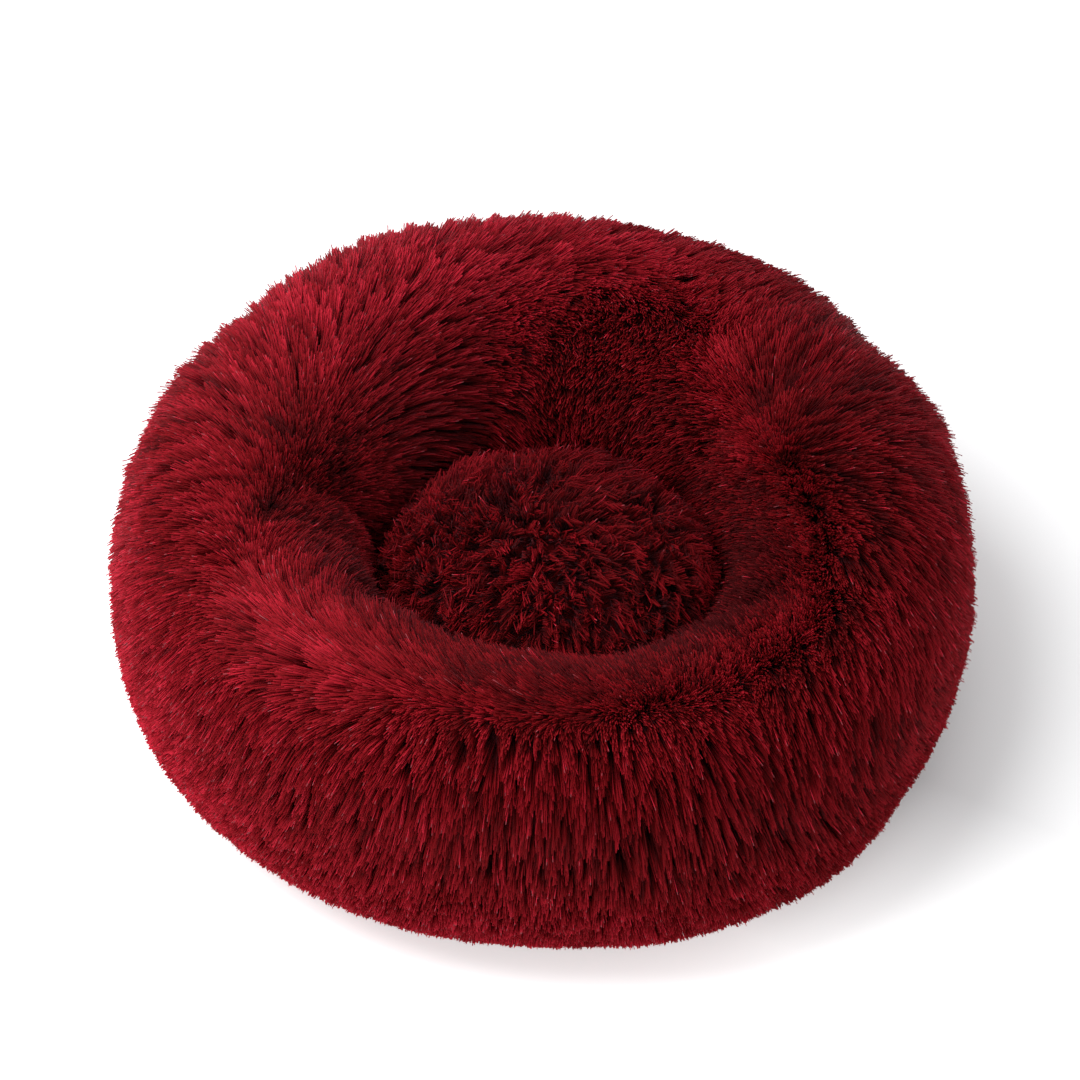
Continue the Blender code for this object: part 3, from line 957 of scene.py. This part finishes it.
# The surface of each plush body, how its pile is combed, where its tips are and its qualities
RIM = (rim_surface, rim_combing, rim_tips, rim_brushing)
CUSHION = (cushion_surface, cushion_combing, cushion_tips, cushion_brushing)
pile_tree = plush_pile_tree()
pile_material = pile_finish()
ground_material = backing_finish()


def grow_pile(name, kind, azimuth_range, section_range, seed, sizes):
    """Pile on one stretch of the rim or the cushion."""
    columns = max(8, int((azimuth_range[1] - azimuth_range[0]) / BACKING_STEP))
    azimuths = np.linspace(*azimuth_range, columns)
    sections = np.linspace(*[math.radians(value) for value in section_range], BACKING_ROWS)
    mesh = grid_mesh(name, kind, azimuths, sections)
    values = {**sizes, "Seed": seed, "Finish": pile_material}
    values["Density"] = values["Density"] * DENSITY_SHARE
    piece = grown(name, mesh, pile_tree, values)
    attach(piece, "root")


for label, kind, sectors, section_range, first_seed, sizes in (
    ("rim_outer_pile", RIM, 10, (-80, 92), 11, RIM_PILE),
    ("rim_inner_pile", RIM, 4, (92, 200), 31, RIM_PILE),
    ("cushion_pile", CUSHION, 2, (10, 89.5), 51, CUSHION_PILE),
):
    edges = np.linspace(math.radians(-180), math.radians(180), sectors + 1)
    for count, ends in enumerate(zip(edges[:-1], edges[1:])):
        grow_pile(f"{label}_{count + 1}", kind, ends, section_range, first_seed + count, sizes)

for name, kind, section_range, steps, node in (
    ("rim_outer_plush", RIM, (-90, 90), 128, "rim_outer_panel"),
    ("rim_inner_plush", RIM, (90.01, 270), 128, "rim_inner_panel"),
    ("cushion_plush", CUSHION, (-90, 88), 96, "cushion_cover"),
):
    piece = closed_shell(name, kind, section_range, steps)
    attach(piece, "root")
    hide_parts(node)


# Fibre filling, linings, base cloth and binding
STITCH_PITCH = 0.0042
STITCH_LENGTH = 0.0030
THREAD_RADIUS = 0.00028
STITCH_LINE_RADIUS = 0.2368
BASE_UNDERSIDE = 0.0008
WEAVE_PITCH = 0.0011
TAPE_RIBS = 1500.0
FIBRE_HOLLOWS = 0.003


def loose_filling(node, material):
    """Polyester fibre in the space of its solid, with a lumpy skin that never leaves that space."""
    shape = bmesh.new()
    shape.from_mesh(bpy.data.objects[node].data)
    bmesh.ops.remove_doubles(shape, verts=shape.verts, dist=1e-6)
    bmesh.ops.subdivide_edges(shape, edges=shape.edges, cuts=1, use_grid_fill=True)
    bmesh.ops.triangulate(shape, faces=shape.faces)
    shape.normal_update()
    moves = []
    for vert in shape.verts:
        lump = 0.5 + 0.5 * noise.noise(vert.co * 55) + 0.25 * noise.noise(vert.co * 150)
        moves.append(-vert.normal * FIBRE_HOLLOWS * min(max(lump, 0.05), 1))
    for vert, move in zip(shape.verts, moves):
        if vert.co.z > PLUSH_UNDERSIDE + FIBRE_HOLLOWS:
            vert.co += move
    mesh = bpy.data.meshes.new(node + "_fibre")
    shape.to_mesh(mesh)
    shape.free()
    mesh.shade_smooth()
    mesh.materials.append(material)
    piece = linked(node + "_fibre", mesh)
    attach(piece, "root")
    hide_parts(node)


def fibre_finish():
    material, tree, shader = cloth_finish("white polyester fibre", 0.9, 0.2, specular=0.2)
    place = object_place(tree)
    matted = noise_at(tree, place, 420.0, 6.0, 2.5)
    dye(tree, shader, matted, ((0.3, (0.60, 0.60, 0.58)), (0.62, (0.86, 0.86, 0.84))))
    add_bump(tree, shader, matted, 0.6, 0.0012)
    return material


def lining_finish():
    """Grey non-woven cloth: pressed fibres with a grid of small welded spots."""
    material, tree, shader = cloth_finish("grey non-woven lining", 0.85, specular=0.2)
    place = object_place(tree)
    fibres = noise_at(tree, place, 900.0, 5.0, 1.5)
    spots = add(
        tree, "ShaderNodeTexVoronoi", {"Vector": place, "Scale": 650.0, "Randomness": 0.1}
    ).outputs["Distance"]
    dye(tree, shader, fibres, ((0.3, (0.115, 0.115, 0.123)), (0.7, (0.20, 0.20, 0.21))))
    height = weighted_sum(tree, ((fibres, 0.5), (spots, 1.0)))
    add_bump(tree, shader, height, 0.5, 0.0003)
    return material


def base_cloth_finish():
    """Black coated plain weave; the grip dots under it are rubber."""
    material, tree, shader = cloth_finish("black coated cloth", 0.5, specular=0.4)
    place = object_place(tree)
    parts = axes_of(tree, place)
    threads = 2 * math.pi / WEAVE_PITCH
    warp = number(tree, "SINE", times(tree, parts[0], threads))
    weft = number(tree, "SINE", times(tree, parts[1], threads))
    weave = times(tree, warp, weft)
    cloth = number(tree, "GREATER_THAN", parts[2], BASE_UNDERSIDE - 0.0001)
    wear = noise_at(tree, place, 40.0, 4.0)
    shade = weighted_sum(tree, ((weave, 0.12), (wear, 0.8), (cloth, -0.15)))
    dye(tree, shader, shade, ((0.15, (0.012, 0.012, 0.014)), (0.75, (0.030, 0.030, 0.033))))
    roughness = weighted_sum(tree, ((cloth, -0.12), (wear, 0.2), (1.0, 0.50)))
    tree.links.new(roughness, shader.inputs["Roughness"])
    add_bump(tree, shader, times(tree, weave, cloth), 0.5, 0.0002)
    return material


def binding_finish():
    """Black tape with ribs across it."""
    material, tree, shader = cloth_finish("black woven tape", 0.75, 0.1, specular=0.3)
    place = object_place(tree)
    parts = axes_of(tree, place)
    turn = number(tree, "ARCTAN2", parts[1], parts[0])
    ribs = number(tree, "SINE", times(tree, turn, TAPE_RIBS))
    fuzz = noise_at(tree, place, 700.0, 3.0)
    shade = weighted_sum(tree, ((ribs, 0.25), (fuzz, 0.6), (1.0, 0.2)))
    dye(tree, shader, shade, ((0.2, (0.014, 0.013, 0.013)), (0.8, (0.040, 0.036, 0.037))))
    add_bump(tree, shader, ribs, 0.5, 0.0002)
    return material


def thread_finish():
    material, tree, shader = cloth_finish("black sewing thread", 0.6, 0.2, specular=0.4)
    inputs = {"Vector": object_place(tree), "Scale": 900.0, "Distortion": 2.0}
    twist = add(tree, "ShaderNodeTexWave", inputs).outputs["Color"]
    dye(tree, shader, twist, ((0.0, (0.020, 0.018, 0.019)), (1.0, (0.050, 0.045, 0.047))))
    return material


def stitching_tree():
    """Stitches along a line of points, each one turned along the line."""
    sizes = ("Pitch", "Stitch Length", "Thread Radius")
    inputs = {"Line": "Geometry", **dict.fromkeys(sizes, "Float"), "Thread": "Material"}
    tree, given, out = geometry_tree("binding_stitching", inputs, "Stitches")
    curve = add(tree, "GeometryNodeMeshToCurve", {"Mesh": given["Line"]}).outputs[0]
    places = add(
        tree, "GeometryNodeCurveToPoints", {"Curve": curve, "Length": given["Pitch"]}, mode="LENGTH"
    ).outputs
    thread = add(
        tree, "GeometryNodeMeshUVSphere", {"Segments": 6, "Rings": 4, "Radius": given["Thread Radius"]}
    ).outputs["Mesh"]
    reach = number(tree, "DIVIDE", times(tree, given["Stitch Length"], 0.5), given["Thread Radius"])
    size = add(tree, "ShaderNodeCombineXYZ", {0: 1.0, 1: 1.0, 2: reach}).outputs[0]
    stitches = add(
        tree,
        "GeometryNodeInstanceOnPoints",
        {"Points": places["Points"], "Instance": thread, "Rotation": places["Rotation"], "Scale": size},
    ).outputs[0]
    stitches = add(tree, "GeometryNodeRealizeInstances", {0: stitches}).outputs[0]
    tree.links.new(finished(tree, stitches, given["Thread"]), out)
    return tree


def stitch_binding():
    """The line of stitches that holds the tape to the base cloth."""
    azimuths = np.linspace(0, 2 * np.pi, 360, endpoint=False)
    x, y = STITCH_LINE_RADIUS * np.cos(azimuths), STITCH_LINE_RADIUS * np.sin(azimuths)
    line = swelled(x, y, np.full_like(x, BASE_UNDERSIDE - 0.0001))
    mesh = bpy.data.meshes.new("binding_stitches")
    mesh.from_pydata(line.tolist(), [(i, (i + 1) % len(line)) for i in range(len(line))], [])
    values = {
        "Pitch": STITCH_PITCH,
        "Stitch Length": STITCH_LENGTH,
        "Thread Radius": THREAD_RADIUS,
        "Thread": thread_finish(),
    }
    piece = grown("binding_stitches", mesh, stitching_tree(), values)
    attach(piece, "root")


fibre_material = fibre_finish()
loose_filling("rim_filling", fibre_material)
loose_filling("cushion_filling", fibre_material)
lining_material = lining_finish()
for node, material in (
    ("rim_lining", lining_material),
    ("cushion_underside", lining_material),
    ("base_panel", base_cloth_finish()),
    ("base_binding", binding_finish()),
):
    bpy.data.objects[node].material_slots[0].material = material
stitch_binding()


# Floor, light and camera
WORLD_STRENGTH = 0.88
KEY_SIZE, KEY_POWER, KEY_PLACE = 1.8, 54, (-1.17, -0.16, 2.06)
CAMERA_ELEVATION = math.radians(45.5)
CAMERA_DISTANCE = 2.8
CAMERA_AIM = Vector((0, 0, 0.09))
SENSOR_WIDTH = 36
PICTURE_WIDTH = 1080
PIXELS_PER_METRE = 1426
PIXELS_RIGHT, PIXELS_DOWN = 3.6, 39.5


def make_floor():
    mesh = bpy.data.meshes.new("floor")
    mesh.from_pydata([(-4, -4, 0), (4, -4, 0), (4, 4, 0), (-4, 4, 0)], [], [(0, 1, 2, 3)])
    floor = linked("floor", mesh)
    material, tree, shader = cloth_finish("white floor", 0.6, specular=0.2)
    shader.inputs["Base Color"].default_value = (0.92, 0.92, 0.93, 1)
    # Painted light: the floor glows at the front and the left, so that the bed's shade on it fades there
    parts = axes_of(tree, object_place(tree))
    towards_front = weighted_sum(tree, ((parts[1], -1.0), (parts[0], -0.55)))
    painted_floor_light = add(tree, "ShaderNodeMapRange", {0: towards_front, 1: -0.04, 2: 0.17, 3: 0.0, 4: 0.5}).outputs[0]
    tree.links.new(painted_floor_light, shader.inputs["Emission Strength"])
    shader.inputs["Emission Color"].default_value = (1, 1, 1, 1)
    mesh.materials.append(material)


def make_light():
    """A white room, and a large soft light above and to the left."""
    world = bpy.data.worlds.new("studio")
    bpy.context.scene.world = world
    world.use_nodes = True
    background = world.node_tree.nodes["Background"]
    background.inputs["Color"].default_value = (1, 1, 1, 1)
    background.inputs["Strength"].default_value = WORLD_STRENGTH
    lamp = bpy.data.lights.new("window_light", "AREA")
    lamp.shape = "DISK"
    lamp.size = KEY_SIZE
    lamp.energy = KEY_POWER
    key = linked("window_light", lamp)
    key.location = KEY_PLACE
    key.rotation_euler = (Vector((0, 0, 0.1)) - key.location).to_track_quat("-Z", "Y").to_euler()


def make_camera():
    """The fitted view: the aim point falls a little off the picture's middle, so the camera turns for it."""
    across, up = math.cos(CAMERA_ELEVATION), math.sin(CAMERA_ELEVATION)
    data = bpy.data.cameras.new("camera")
    data.sensor_width = SENSOR_WIDTH
    data.lens = data.sensor_width * PIXELS_PER_METRE * CAMERA_DISTANCE / PICTURE_WIDTH
    camera = linked("camera", data)
    camera.location = CAMERA_AIM + CAMERA_DISTANCE * Vector((0, -across, up))
    moved = PIXELS_DOWN * Vector((0, up, across)) - PIXELS_RIGHT * Vector((1, 0, 0))
    seen = CAMERA_AIM + moved / PIXELS_PER_METRE
    camera.rotation_euler = (seen - camera.location).to_track_quat("-Z", "Y").to_euler()
    bpy.context.scene.camera = camera


make_floor()
make_light()
make_camera()
bpy.context.scene.view_settings.view_transform = "Standard"
